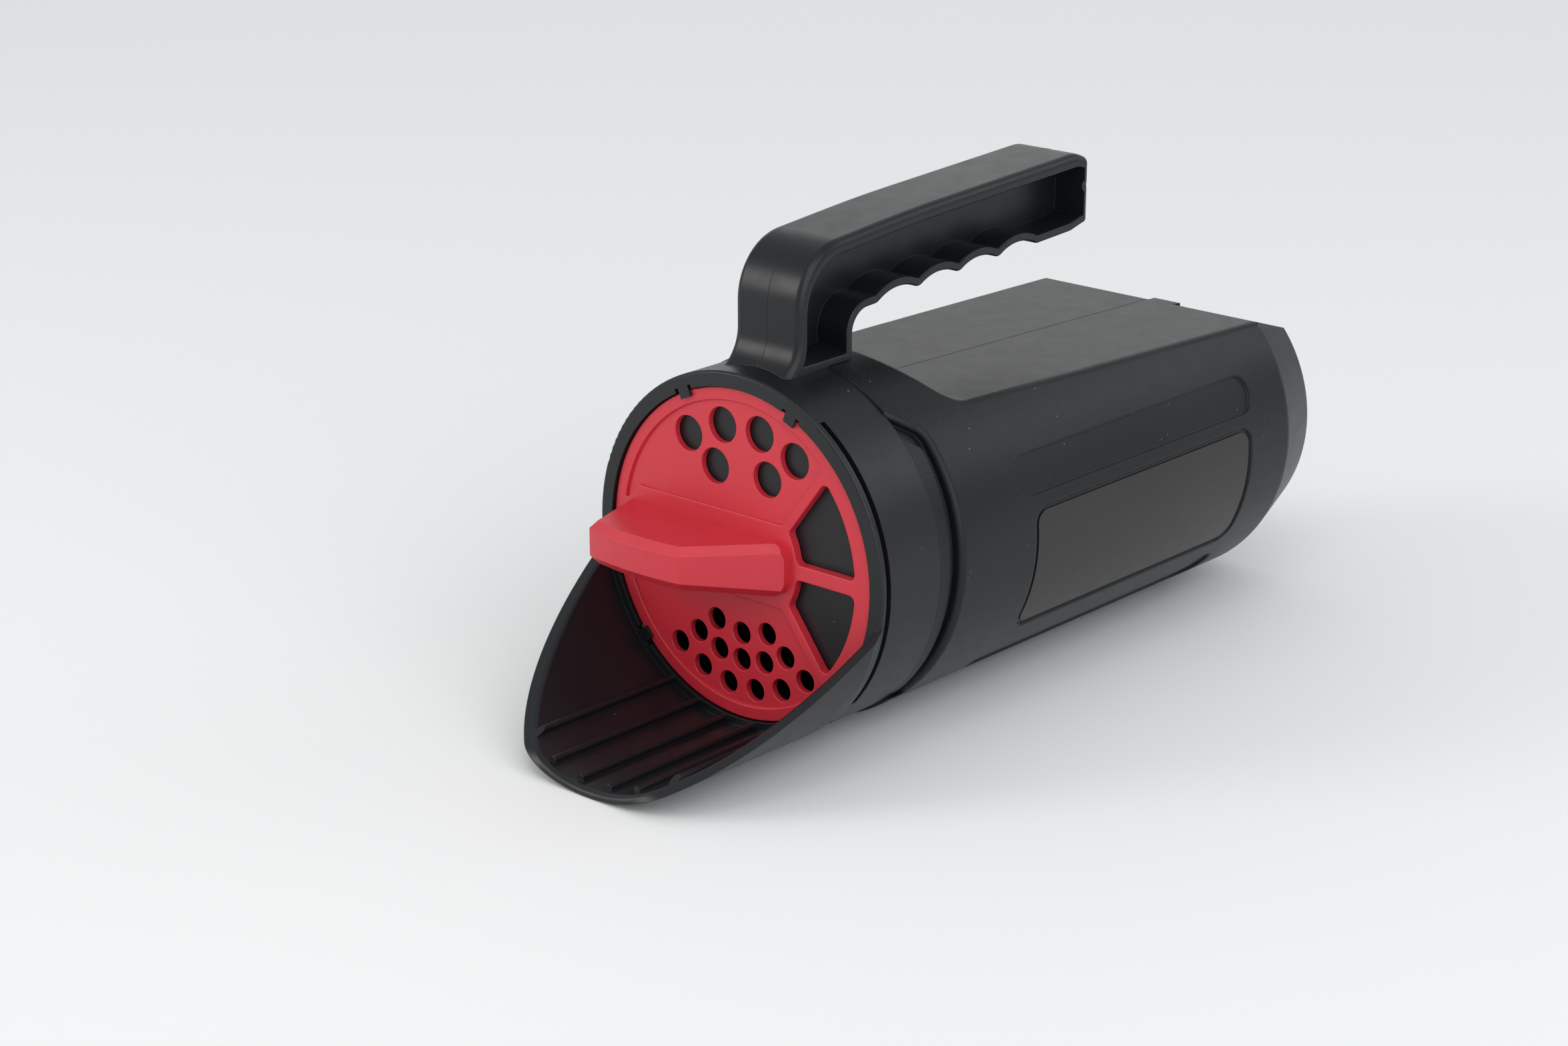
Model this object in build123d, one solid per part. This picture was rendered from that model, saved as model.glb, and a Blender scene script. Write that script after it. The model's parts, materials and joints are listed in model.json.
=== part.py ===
"""Hand-held garden spreader: scoop head with turning dial, carrying handle and hopper.

The model is drawn about the dial's axis, which runs along Y: the rim's front plane is y = 0,
the scoop points to -Y and +Z is up. Each finished piece is then moved so that the origin lies
on the floor, under the middle of the whole length. All sizes are in millimetres and degrees,
and angles round the axis run from the top (+Z) towards the right side (+X).
"""
import math
import os

from build123d import *

# Dial, which drives the diameters of everything round it
dial_radius = 57.0
dial_thickness = 3.3
dial_recess = 1.3
dial_rim_width = 4.4
dial_panel_depth = 1.0
dial_band_half = 14.6
dial_band_end = 45.9
dial_step_round = 0.4
panel_corner_round = 2.5
dial_run_gap = 0.4
dial_face_gap = 0.3

# Holes and windows of the dial
large_hole_radius = 6.1
large_outer_ring = 44.0
large_outer_count = 4
large_outer_pitch = 21.4
large_inner_ring = 30.7
large_inner_half_angle = 22.0
small_hole_radius = 3.9
small_ring_radii = (47.0, 37.1, 27.7)
small_ring_counts = (6, 5, 3)
small_ring_angles = (14.7, 15.8, 24.0)
window_inner_radius = 25.0
window_outer_radius = 50.0
window_apex = 12.0
window_half_angle = 53.0
window_spoke_width = 5.3
window_corner_radius = 2.2
window_lip = 3.3

# Grip bar moulded on the dial
bar_outer_end = 51.0
bar_front_end = 46.9
bar_end_reach = 22.8
bar_belly_reach = 25.8
bar_bend_reach = 24.3
bar_bend_offset = 4.5
bar_inner_end = 22.3
bar_inner_reach = 2.8
bar_base_half = 9.4
bar_draft = 5.0
bar_bevel = 2.6
bar_bevel_round = 0.25
bar_end_round = 6.0
hole_bevel = 0.2

# Collar, rim and bulkhead
rim_wall = 5.3
rim_round = 1.0
collar_length = 29.5
collar_wall = 2.6
bulkhead_thickness = 2.4
outlet_inner_radius = 22.0
outlet_outer_radius = 52.0
outlet_half_angle = 42.0
hook_reach = 2.5
hook_thickness = 1.0
hook_width = 4.5
hook_angles = (24.0, 132.0)
relief_width = 1.6
relief_depth = 1.3
slot_start = 2.2
slot_width = 2.3
slot_angles = ((33.0, 130.0), (141.0, 180.0))

# Scoop lip
scoop_length = 72.0
scoop_wall = 2.4
scoop_spread = 2.2
scoop_blend_back = 2.0
scoop_blend_length = 6.0
lip_round = 2.0
scoop_top_drop = 11.3
scoop_lip_angle = 32.4
scoop_tip_round = 9.0
rib_count = 6
rib_pitch = 12.3
rib_width = 2.6
rib_height = 2.2
rib_setback = 4.0

# Handle
handle_width = 29.0
handle_wall = 2.8
handle_front_wall = 3.7
handle_top_wall = 4.8
handle_rim_round = 0.7
handle_web = 3.0
handle_edge_round = 2.8
handle_seat_gap = 0.3
foot_flare = 13.8
foot_sink = 3.2
post_front = 15.3
post_depth = 26.1
post_rise = 14.8
post_outer_round = 21.5
post_inner_round = 8.0
grip_length = 155.0
grip_front_height = 24.0
grip_bend_length = 59.7
grip_bend_climb = 5.0
grip_bend_round = 800.0
grip_top_climb = 9.0
grip_top_fall = 2.6
grip_fall_length = 6.5
grip_under_climb = 5.7
grip_heel_length = 10.0
grip_heel_rise = 2.4
grip_heel_round = 8.0
grip_crest_round = 14.0
grip_end_round = 2.5
finger_count = 4
finger_pitch = 21.6
finger_depth = 3.0
finger_first = 12.85
finger_crest_round = 4.0
end_notch_radius = 2.4
end_notch_depth = 1.1
end_notch_height = 15.0

# Hopper
hopper_step = 2.6
hopper_crown_step = 0.3
hopper_wall = 2.4
hopper_length = 225.4
hopper_edge_round = 2.0
hopper_front_round = 0.6
shoulder_length = 18.5
shoulder_slope = 48.5
shoulder_crest_round = 10.0
shoulder_crest_rise = 1.0
shoulder_foot_round = 15.0
top_flat_height = 47.4
top_flat_fall = 1.83
top_edge_round = 4.0
tail_length = 25.9
tail_drop = 8.4
tail_round = 4.0
back_round = 2.0
neck_fit = 0.2
neck_length = 20.0
neck_wall = 2.7

# Side pads and grooves where the hopper meets the collar
pad_top = 48.0
pad_corner_top = 42.0
pad_corner_back = 9.4
pad_middle_back = 8.3
pad_bottom_back = 6.2
pad_bottom = -48.5
groove_width = 2.8
groove_depth = 2.0
pad_corner_round = 3.0

# Label recess, label and the two long ovals on each side of the hopper
label_front = 49.6
label_length = 124.4
label_top = 9.7
label_bottom = -32.0
label_corner_round = 5.0
label_thickness = 0.3
label_seat_gap = 0.2
label_margin = 1.4
recess_depth = 0.9
recess_rim_round = 0.6
oval_front = 41.3
oval_length = 137.2
oval_height = 13.0
oval_gap = 6.0
low_oval_gap = 8.4
oval_depth = 1.1
oval_rim_round = 0.5
oval_floor_round = 0.4

# Worked-out sizes
rim_inner_radius = dial_radius + dial_run_gap
collar_radius = rim_inner_radius + rim_wall
socket_radius = collar_radius - collar_wall
dial_back = dial_recess + dial_thickness
bulkhead_front = dial_back + dial_face_gap
bulkhead_back = bulkhead_front + bulkhead_thickness
scoop_inner_radius = collar_radius - scoop_wall
hopper_radius = collar_radius + hopper_step
hopper_crown = collar_radius + hopper_crown_step
hopper_back = collar_length + hopper_length
tail_start = hopper_back - tail_length
axis_height = hopper_crown
post_back = post_front + post_depth
under_height = collar_radius + post_rise
length_middle = (hopper_back - scoop_length) / 2
reach = 2 * hopper_radius

# Aids to modelling: what counts as the same place, how far cuts run past a surface, where edges are sampled
touch = 0.01
cut_clear = 1.0
edge_samples = (0.05, 0.5, 0.95)
wedge_step = 30.0


def polar(radius, angle):
    """Point (x, z) at a radius and an angle from the top towards the right side."""
    turn = math.radians(angle)
    return (radius * math.sin(turn), radius * math.cos(turn))


def along_axis(sketch, start, end):
    """Solid from an (x, z) outline, running along the axis from y = start to y = end."""
    return extrude(Plane.XZ.offset(-start) * sketch, amount=end - start, dir=(0, 1, 0))


def across(sketch, half_width):
    """Solid from a (y, z) outline, running equally to both sides of the middle plane."""
    return extrude(Plane.YZ * sketch, amount=half_width, both=True)


def to_the_right(sketch, start, end):
    """Solid from a (y, z) outline, running along X from x = start to x = end."""
    return extrude(Plane.YZ.offset(start) * sketch, amount=end - start, dir=(1, 0, 0))


def rod(radius, start, end):
    """Round bar about the axis from y = start to y = end."""
    return along_axis(Circle(radius), start, end)


def wedge(start_angle, end_angle, radius):
    """Outline (x, z) of a pie slice that reaches past a radius."""
    steps = max(2, math.ceil((end_angle - start_angle) / wedge_step))
    turn = (end_angle - start_angle) / steps
    outer = radius / math.cos(math.radians(turn / 2))
    points = [polar(outer, start_angle + turn * step) for step in range(steps + 1)]
    return make_face(Polyline((0, 0), *points, close=True))


def mirrored(solid):
    """Copy of a solid on the other side of the middle plane."""
    return mirror(solid, about=Plane.YZ)


def axis_distance(point):
    """Distance of a point from the axis."""
    return math.hypot(point.X, point.Z)


def placed(solid):
    """Solid moved from the axis to the floor, under the middle of the whole length."""
    return Pos(0, -length_middle, axis_height) * solid


def edges_at(solid, place):
    """Edges of a solid that lie in the plane y = place, without those that cross it."""
    level = [edge for edge in solid.edges() if abs((edge @ 0.5).Y - place) < touch]
    return [edge for edge in level if abs(edge.tangent_at(0.5).Y) < touch]


def scoop_lip():
    """Trough in front of the collar, cut back along a slanted lip, with ribs on its floor."""
    blend_front = scoop_blend_back - scoop_blend_length
    wide = Ellipse(collar_radius + scoop_spread, collar_radius)
    trough = along_axis(wide, -scoop_length, blend_front)
    trough += loft(
        [
            Plane.XZ.offset(-blend_front) * wide,
            Plane.XZ.offset(-scoop_blend_back) * Circle(collar_radius),
        ],
        ruled=True,
    )
    trough -= rod(scoop_inner_radius, -reach, reach)
    slope = math.tan(math.radians(scoop_lip_angle))
    lip = FilletPolyline(
        (scoop_blend_back, slope * scoop_blend_back - scoop_top_drop),
        (-scoop_length, -slope * scoop_length - scoop_top_drop),
        (-scoop_length, -reach),
        radius=scoop_tip_round,
    )
    kept = make_face([lip, Polyline(lip @ 1, (scoop_blend_back, -reach), lip @ 0)])
    kept_block = across(kept, reach)
    scoop = trough & kept_block
    inner_lip = [
        edge
        for edge in scoop.edges()
        if edge.length > scoop_wall
        and (edge @ 0.5).Y < 0
        and axis_distance(edge @ 0.5) < scoop_inner_radius + scoop_wall / 4
    ]
    scoop = fillet(inner_lip, lip_round)
    first = -rib_pitch * (rib_count - 1) / 2
    rib_outline = Pos(0, -scoop_inner_radius) * (
        Pos(0, (rib_height - rib_width / 2) / 2) * Rectangle(rib_width, rib_height - rib_width / 2)
        + Pos(0, rib_height - rib_width / 2) * Circle(rib_width / 2)
        + Pos(0, -scoop_wall / 4) * Rectangle(rib_width, scoop_wall / 2)
    )
    rib = along_axis(rib_outline, rib_setback - scoop_length, 0)
    for step in range(rib_count):
        scoop += (Rot(0, first + rib_pitch * step, 0) * rib) & kept_block
    return scoop


def scoop_head():
    """Collar with rim, bulkhead, snap hooks and relief slots, and the scoop lip in front."""
    rim_and_wall = Polyline(
        (rim_inner_radius, 0),
        (collar_radius, 0),
        (collar_radius, collar_length),
        (socket_radius, collar_length),
        (socket_radius, bulkhead_back),
        (0, bulkhead_back),
        (0, bulkhead_front),
        (rim_inner_radius, bulkhead_front),
        close=True,
    )
    collar = revolve(make_face(rim_and_wall), axis=Axis.Y)
    outlet_ring = Circle(outlet_outer_radius) - Circle(outlet_inner_radius)
    outlet = outlet_ring & wedge(180 - outlet_half_angle, 180 + outlet_half_angle, dial_radius)
    collar -= along_axis(outlet, bulkhead_front, bulkhead_back)
    slot_ring = Circle(reach) - Circle(rim_inner_radius)
    for start_angle, end_angle in slot_angles:
        slot = along_axis(
            slot_ring & wedge(start_angle, end_angle, reach), slot_start, slot_start + slot_width
        )
        collar -= slot
        collar -= mirrored(slot)
    head = collar + scoop_lip()
    hook_ring = Circle(rim_inner_radius + rim_wall / 2) - Circle(rim_inner_radius - hook_reach)
    hook_bar = Pos(0, rim_inner_radius) * Rectangle(hook_width, 2 * rim_wall)
    hook = along_axis(hook_ring & hook_bar, 0, hook_thickness)
    relief_bar = Pos(0, rim_inner_radius) * Rectangle(hook_width + 2 * relief_width, 2 * relief_depth)
    relief = along_axis(relief_bar, 0, bulkhead_front)
    for angle in hook_angles:
        for turn in (angle, -angle):
            head -= Rot(0, turn, 0) * relief
            head += Rot(0, turn, 0) * hook
    front_rim = [
        edge
        for edge in head.edges()
        if (edge @ 0.5).Y < hook_thickness / 2
        and all(abs(axis_distance(edge @ place) - collar_radius) < touch for place in edge_samples)
    ]
    return fillet(front_rim, rim_round)


def window(side):
    """Outline (x, z) of one window of the dial, above (side 1) or below (side -1) the spoke."""
    ring = Circle(window_outer_radius) - Circle(window_inner_radius)
    climb = reach * math.tan(math.radians(window_half_angle))
    slope = make_face(
        Polyline(
            (window_apex, 0),
            (window_apex + reach, 0),
            (window_apex + reach, side * climb),
            close=True,
        )
    )
    spoke = Pos(window_apex + reach / 2, 0) * Rectangle(reach, window_spoke_width)
    opening = (ring & slope) - spoke
    return fillet(opening.vertices(), window_corner_radius)


def panel(side):
    """Outline (x, z) of one recessed panel of the dial, above (side 1) or below (side -1) the bar."""
    slope = math.tan(math.radians(window_half_angle))
    start = window_apex - window_lip / math.sin(math.radians(window_half_angle))
    field = make_face(
        Polyline(
            (-reach, side * bar_base_half),
            (-bar_outer_end, side * bar_base_half),
            (-dial_band_end, side * dial_band_half),
            (start + dial_band_half / slope, side * dial_band_half),
            (start + reach / slope, side * reach),
            (-reach, side * reach),
            close=True,
        )
    )
    outline = Circle(dial_radius - dial_rim_width) & field
    right_corners = [vertex for vertex in outline.vertices() if vertex.X > 0]
    return fillet(right_corners, panel_corner_round)


def grip_bar():
    """Grip bar across the dial, with drafted sides and bevelled front edges."""
    base = dial_recess
    plan = make_face(
        [
            Polyline(
                (bar_inner_end, base - bar_inner_reach),
                (bar_inner_end, base),
                (-bar_outer_end, base),
                (-bar_front_end, base - bar_end_reach),
            ),
            ThreePointArc(
                (-bar_front_end, base - bar_end_reach),
                (-(bar_front_end + bar_bend_offset) / 2, base - bar_belly_reach),
                (-bar_bend_offset, base - bar_bend_reach),
            ),
            Line((-bar_bend_offset, base - bar_bend_reach), (bar_inner_end, base - bar_inner_reach)),
        ]
    )
    blank = extrude(plan, amount=bar_base_half, both=True)
    front_half = bar_base_half - bar_belly_reach * math.tan(math.radians(bar_draft))
    sides = Polyline(
        (base, bar_base_half),
        (base, -bar_base_half),
        (base - bar_belly_reach, -front_half),
        (base - bar_belly_reach, front_half),
        close=True,
    )
    bar = blank & across(make_face(sides), reach)
    front_edges = [
        edge
        for edge in bar.edges()
        if abs((edge @ 0.5).Z) > front_half / 2 and (edge @ 0.5).Y < base - bar_inner_reach
    ]
    bar = chamfer(front_edges, bar_bevel)
    soft_edges = [
        edge
        for edge in bar.edges()
        if (edge @ 0.5).Y < base - bar_inner_reach and (edge @ 0.5).X < bar_inner_end - bar_end_round
    ]
    bar = fillet(soft_edges, bar_bevel_round)
    front = Pos(bar_inner_end - reach / 2, 0) * RectangleRounded(reach, 2 * bar_base_half, bar_end_round)
    return bar & along_axis(front, base - reach, base)


def dial():
    """Red dial: rimmed disc with recessed panels, two sets of holes, windows and the grip bar."""
    disc = rod(dial_radius, dial_recess, dial_back)
    for side in (1, -1):
        disc -= along_axis(panel(side), dial_recess, dial_recess + dial_panel_depth)
        disc -= along_axis(window(side), dial_recess, dial_back)
    holes = [(large_inner_ring, side * large_inner_half_angle, large_hole_radius) for side in (1, -1)]
    first = -large_outer_pitch * (large_outer_count - 1) / 2
    for step in range(large_outer_count):
        holes.append((large_outer_ring, first + large_outer_pitch * step, large_hole_radius))
    for ring, count, pitch in zip(small_ring_radii, small_ring_counts, small_ring_angles):
        first = 180 - pitch * (count - 1) / 2
        holes += [(ring, first + pitch * step, small_hole_radius) for step in range(count)]
    for ring, angle, radius in holes:
        disc -= along_axis(Pos(*polar(ring, angle)) * Circle(radius), dial_recess, dial_back)
    radii = (large_hole_radius, small_hole_radius, dial_radius)
    rounds = [edge for edge in disc.edges().filter_by(GeomType.CIRCLE) if edge.is_closed]
    rounds = [edge for edge in rounds if any(abs(edge.radius - radius) < touch for radius in radii)]
    disc = chamfer([edge for edge in rounds if (edge @ 0).Y < dial_back - touch], hole_bevel)
    steps = [
        edge
        for edge in edges_at(disc, dial_recess)
        if axis_distance(edge @ 0.5) < dial_radius - hole_bevel - touch
    ]
    disc = fillet(steps, dial_step_round)
    return disc + grip_bar()


def handle_outline():
    """Outline (y, z) of the handle: flared foot, post, tilted grip and finger scallops."""
    foot_bottom = collar_radius - foot_sink
    crest = under_height + grip_front_height
    end = post_front + grip_length
    end_top = (end, crest + grip_top_climb - grip_top_fall)
    end_bottom = (end, under_height + grip_under_climb + grip_heel_rise)
    heel = (end - grip_heel_length, under_height + grip_under_climb)
    front_and_top = FilletPolyline(
        (post_front - foot_flare - handle_wall, foot_bottom),
        (post_front, foot_bottom),
        (post_front, crest),
        (post_front + grip_bend_length, crest + grip_bend_climb),
        (end - grip_fall_length, crest + grip_top_climb),
        end_top,
        radius=[foot_flare, post_outer_round, grip_bend_round, grip_crest_round],
    )
    under_and_back = FilletPolyline(
        end_bottom,
        heel,
        (post_back, under_height),
        (post_back, foot_bottom),
        radius=[grip_heel_round, post_inner_round],
    )
    foot = Line((post_back, foot_bottom), (post_front - foot_flare - handle_wall, foot_bottom))
    outline = make_face([front_and_top, Line(end_top, end_bottom), under_and_back, foot])
    slope = math.atan2(grip_under_climb, heel[0] - post_back)
    scallop_radius = (finger_pitch**2 / 4 + finger_depth**2) / (2 * finger_depth)
    start = Vector(post_back, under_height)
    ahead = Vector(math.cos(slope), math.sin(slope))
    down = Vector(math.sin(slope), -math.cos(slope))
    for finger in range(finger_count):
        middle = start + ahead * (finger_first + finger_pitch * (finger + 0.5))
        centre = middle + down * (scallop_radius - finger_depth)
        outline -= Pos(centre.X, centre.Y) * Circle(scallop_radius)
    corners = []
    for step in range(finger_count + 1):
        tooth = start + ahead * (finger_first + finger_pitch * step)
        for vertex in outline.vertices():
            if (Vector(vertex.X, vertex.Y) - tooth).length < finger_depth / 2:
                corners.append(vertex)
    return fillet(corners, finger_crest_round)


def handle():
    """Cantilevered handle, rounded outside and cored out from both sides down to a middle web."""
    outline = handle_outline()
    half = handle_width / 2
    end = post_front + grip_length
    blank = across(outline, half)
    middle_height = under_height + grip_front_height / 2
    outer_edges = [
        edge
        for edge in blank.edges()
        if abs(abs((edge @ 0.5).X) - half) < touch
        and abs(edge.tangent_at(0.5).X) < touch
        and ((edge @ 0.5).Z > middle_height or (edge @ 0.5).Y < post_front + touch)
        and (edge @ 0.5).Z > collar_radius - foot_sink + touch
        and (edge @ 0.5).Y < end - touch
    ]
    body = fillet(outer_edges, handle_edge_round)
    body = fillet(edges_at(body, end), grip_end_round)
    inside = offset(outline, amount=-handle_wall)
    inside = inside & Pos(handle_front_wall - handle_wall, handle_wall - handle_top_wall) * inside
    core = to_the_right(inside, handle_web / 2, half)
    core -= rod(collar_radius + handle_wall, -reach, reach)
    body -= core
    body -= mirrored(core)
    rims = [
        edge
        for edge in body.edges()
        if all(abs((edge @ place).X) > half - handle_rim_round for place in edge_samples)
        and (edge @ 0.5).Z > collar_radius - foot_sink + touch
        and (edge @ 0.5).Y < end - grip_end_round - handle_rim_round
    ]
    body = fillet(rims, handle_rim_round)
    notch_height = under_height + grip_under_climb + end_notch_height
    notch = Pos(half - end_notch_depth + end_notch_radius, notch_height) * Circle(end_notch_radius)
    body -= along_axis(notch, end - 2 * handle_wall, end)
    body -= rod(collar_radius, -reach, collar_length)
    return body - along_axis(hopper_section(-handle_seat_gap), collar_length, reach)


def hopper_section(inset):
    """Outline (x, z) of the hopper: a little wider than high."""
    side = hopper_radius - inset
    crown = hopper_crown - inset
    upper = EllipticalCenterArc((0, 0), side, crown, 0, arc_size=180)
    lower = EllipticalCenterArc((0, 0), side, crown, 180, arc_size=180)
    return make_face([upper, lower])


def flat_height(place):
    """Height of the hopper's top flat above the axis at y = place."""
    ramp = math.radians(shoulder_slope)
    front = collar_length + shoulder_length + (hopper_crown - top_flat_height) / math.tan(ramp)
    return top_flat_height - (place - front) * math.tan(math.radians(top_flat_fall))


def hopper_side(inset):
    """Outline (y, z) of the hopper from the side: shoulder, ramp and falling flat top."""
    ramp = math.radians(shoulder_slope)
    above = hopper_crown - inset + shoulder_crest_rise
    ramp_start = collar_length + shoulder_length - inset * math.tan(ramp / 2)
    ramp_start -= shoulder_crest_rise / math.tan(ramp)
    ramp_end = ramp_start + (above + inset - top_flat_height) / math.tan(ramp)
    back = hopper_back - inset
    top = FilletPolyline(
        (collar_length, above),
        (ramp_start, above),
        (ramp_end, flat_height(ramp_end) - inset),
        (back, flat_height(back) - inset),
        radius=[shoulder_crest_round, shoulder_foot_round],
    )
    rest = Polyline(top @ 1, (back, -reach), (collar_length, -reach), top @ 0)
    return make_face([top, rest])


def hopper_tail(inset):
    """Ring and wedge that are cut off the hopper to narrow it towards its rear end."""
    start = tail_start - tail_length
    end = hopper_back + tail_length
    tapered = loft(
        [
            Plane.XZ.offset(-start) * hopper_section(inset - tail_drop),
            Plane.XZ.offset(-end) * hopper_section(inset + 2 * tail_drop),
        ],
        ruled=True,
    )
    ring = along_axis(Rectangle(2 * reach, 2 * reach), start, end) - tapered
    spread = tail_drop / tail_length
    edge = flat_height(tail_start) - inset
    top_wedge = Polyline(
        (start, edge + spread * tail_length),
        (end, edge - spread * 2 * tail_length),
        (end, reach),
        (start, reach),
        close=True,
    )
    return [ring, across(make_face(top_wedge), reach)]


def hopper_form(inset):
    """Closed form of the hopper, drawn in by an inset from its outer surface."""
    body = along_axis(hopper_section(inset), collar_length, hopper_back)
    return body & across(hopper_side(inset), reach)


def pad_outline(inset):
    """Outline (y, z) of the side pad's field, drawn in from its top and back edges."""
    corner = (collar_length + pad_corner_back - inset, pad_corner_top - inset)
    middle = (collar_length + pad_middle_back - inset, 0)
    bottom = (collar_length + pad_bottom_back - inset, pad_bottom)
    top = (collar_length - inset, pad_top - inset)
    front = collar_length - 2 * groove_width
    outline = make_face(
        [
            Line(top, corner),
            ThreePointArc(corner, middle, bottom),
            Polyline(bottom, (front, pad_bottom), (front, pad_top - inset), top),
        ]
    )
    return fillet(outline.vertices().sort_by(Axis.X)[-1], pad_corner_round)


def side_skin(outline, outer_inset, inner_inset):
    """Layer of the hopper's right side under an outline, between two insets of its surface."""
    layer = along_axis(
        hopper_section(outer_inset) - hopper_section(inner_inset), collar_length, hopper_back
    )
    return layer & to_the_right(outline, 0, reach)


def softened(solid, outline, inset, radius):
    """Solid with the edges rounded that follow a (y, z) outline at an inset from the hopper's side."""
    across_radius = hopper_radius - inset
    up_radius = hopper_crown - inset
    followed = []
    for edge in solid.edges():
        middle = edge @ 0.5
        level = math.hypot(middle.X / across_radius, middle.Z / up_radius)
        if middle.X > touch and abs(level - 1) * hopper_radius < touch:
            spot = Vertex(middle.Y, middle.Z, 0)
            if min(side.distance_to(spot) for side in outline.edges()) < touch:
                followed.append(edge)
    return fillet(followed, radius)


def label_outline(margin):
    """Outline (y, z) of the label, grown by a margin."""
    middle = (collar_length + label_front + label_length / 2, (label_top + label_bottom) / 2)
    length = label_length + 2 * margin
    height = label_top - label_bottom + 2 * margin
    return Pos(*middle) * RectangleRounded(length, height, label_corner_round + margin)


def hopper_body():
    """Outer form of the hopper with its rounded edges."""
    body = hopper_form(0)
    ridge = [
        edge
        for edge in body.edges()
        if (edge @ 0.5).Z > flat_height(hopper_back) - top_edge_round
        and collar_length + cut_clear < (edge @ 0.5).Y < hopper_back - cut_clear
        and abs(edge.tangent_at(0.5).X) < 1 - touch
    ]
    body = fillet(ridge, top_edge_round)
    for cutter in hopper_tail(0):
        body -= cutter
    body = fillet(edges_at(body, hopper_back), back_round)
    crease = [
        edge
        for edge in body.edges()
        if abs((edge @ 0.5).Y - tail_start) < tail_round
        and abs(edge.tangent_at(0.5).Y) < abs(edge.tangent_at(0.5).X) + abs(edge.tangent_at(0.5).Z)
    ]
    return fillet(crease, tail_round)


def hopper_front(body):
    """Right half of the hopper with its side pad and groove cut, and its front edges rounded."""
    field = to_the_right(pad_outline(0), 0, reach)
    inner_field = to_the_right(pad_outline(groove_width), 0, reach)
    body -= field - rod(collar_radius, -reach, reach)
    body -= field - inner_field - rod(collar_radius - groove_depth, -reach, reach)
    proud = collar_radius + hopper_crown_step / 4
    lip = [
        edge
        for edge in body.edges()
        if collar_length + touch < (edge @ 0.5).Y < collar_length + pad_corner_back + cut_clear
        and (edge @ 0.5).Z > pad_bottom + touch
        and (edge @ 0.5).X > touch
        and all(axis_distance(edge @ place) > proud for place in (0, 0.5, 1))
    ]
    body = fillet(lip, hopper_edge_round)
    front = [edge for edge in edges_at(body, collar_length) if axis_distance(edge @ 0.5) > proud]
    return fillet([edge for edge in front if (edge @ 0.5).X > touch], hopper_front_round)


def hopper():
    """Blow-moulded hopper with its neck, side pads, grooves, label recesses and ovals."""
    right_side = Pos(hopper_back / 2, 0) * Rectangle(2 * hopper_back, 2 * reach)
    right = hopper_front(hopper_body() & to_the_right(right_side, 0, reach))
    oval_middle = collar_length + oval_front + oval_length / 2
    recess = label_outline(label_margin)
    right -= side_skin(recess, -cut_clear, recess_depth)
    right = softened(right, recess, 0, recess_rim_round)
    upper = label_top + oval_gap + oval_height / 2
    lower = label_bottom - low_oval_gap - oval_height / 2
    for height in (upper, lower):
        oval = Pos(oval_middle, height) * SlotOverall(oval_length, oval_height)
        right -= side_skin(oval, -cut_clear, oval_depth)
        right = softened(right, oval, 0, oval_rim_round)
        right = softened(right, oval, oval_depth, oval_floor_round)
    outer = right + mirrored(right)
    neck_radius = socket_radius - neck_fit
    neck_front = collar_length - neck_length
    outer += rod(neck_radius, neck_front, collar_length + hopper_wall)
    cavity_front = collar_length + shoulder_length
    cavity = hopper_form(hopper_wall) - rod(reach, 0, cavity_front)
    for cutter in hopper_tail(hopper_wall):
        cavity -= cutter
    bore = rod(neck_radius - neck_wall, neck_front, cavity_front + hopper_wall)
    return outer - (cavity + bore)


def label():
    """Right-hand label, lying just above the floor of its recess."""
    back = recess_depth - label_seat_gap
    return side_skin(label_outline(0), back - label_thickness, back)


def main():
    """Build every piece and write it to its own file."""
    os.makedirs("parts", exist_ok=True)
    right_label = label()
    pieces = {
        "scoop_head": scoop_head(),
        "handle": handle(),
        "dial": dial(),
        "hopper": hopper(),
        "right_label": right_label,
        "left_label": mirrored(right_label),
    }
    for name, piece in pieces.items():
        export_step(placed(piece), f"parts/{name}.step")


if __name__ == "__main__":
    main()
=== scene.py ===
"""Looks of the hand-held garden spreader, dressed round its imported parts.

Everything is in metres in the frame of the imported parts: the spreader stands on z = 0, its scoop
points to -Y and its right side, with the dial's windows, to +X.
"""

import json
import logging
import math
from collections.abc import Callable
from dataclasses import dataclass, field
from enum import Enum

import bpy
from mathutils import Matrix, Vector

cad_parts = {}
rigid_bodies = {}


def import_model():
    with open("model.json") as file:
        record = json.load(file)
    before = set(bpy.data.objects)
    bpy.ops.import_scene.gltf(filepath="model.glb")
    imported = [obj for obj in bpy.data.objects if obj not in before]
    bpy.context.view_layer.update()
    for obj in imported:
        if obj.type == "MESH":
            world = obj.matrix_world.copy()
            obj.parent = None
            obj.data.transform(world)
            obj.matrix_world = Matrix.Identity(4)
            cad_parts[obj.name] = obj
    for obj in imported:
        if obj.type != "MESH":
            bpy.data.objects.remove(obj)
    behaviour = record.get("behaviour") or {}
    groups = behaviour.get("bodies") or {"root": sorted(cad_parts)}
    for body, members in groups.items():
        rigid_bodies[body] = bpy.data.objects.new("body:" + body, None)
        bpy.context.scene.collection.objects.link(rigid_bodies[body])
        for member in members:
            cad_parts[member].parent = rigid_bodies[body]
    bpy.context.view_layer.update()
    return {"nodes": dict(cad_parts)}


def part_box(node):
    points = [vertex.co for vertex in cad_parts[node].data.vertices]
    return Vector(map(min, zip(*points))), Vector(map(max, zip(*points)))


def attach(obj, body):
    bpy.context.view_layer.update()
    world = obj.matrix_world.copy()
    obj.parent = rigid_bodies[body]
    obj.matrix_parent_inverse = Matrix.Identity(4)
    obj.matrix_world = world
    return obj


LOG = logging.getLogger("garden_spreader")
MM = 0.001

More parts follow.
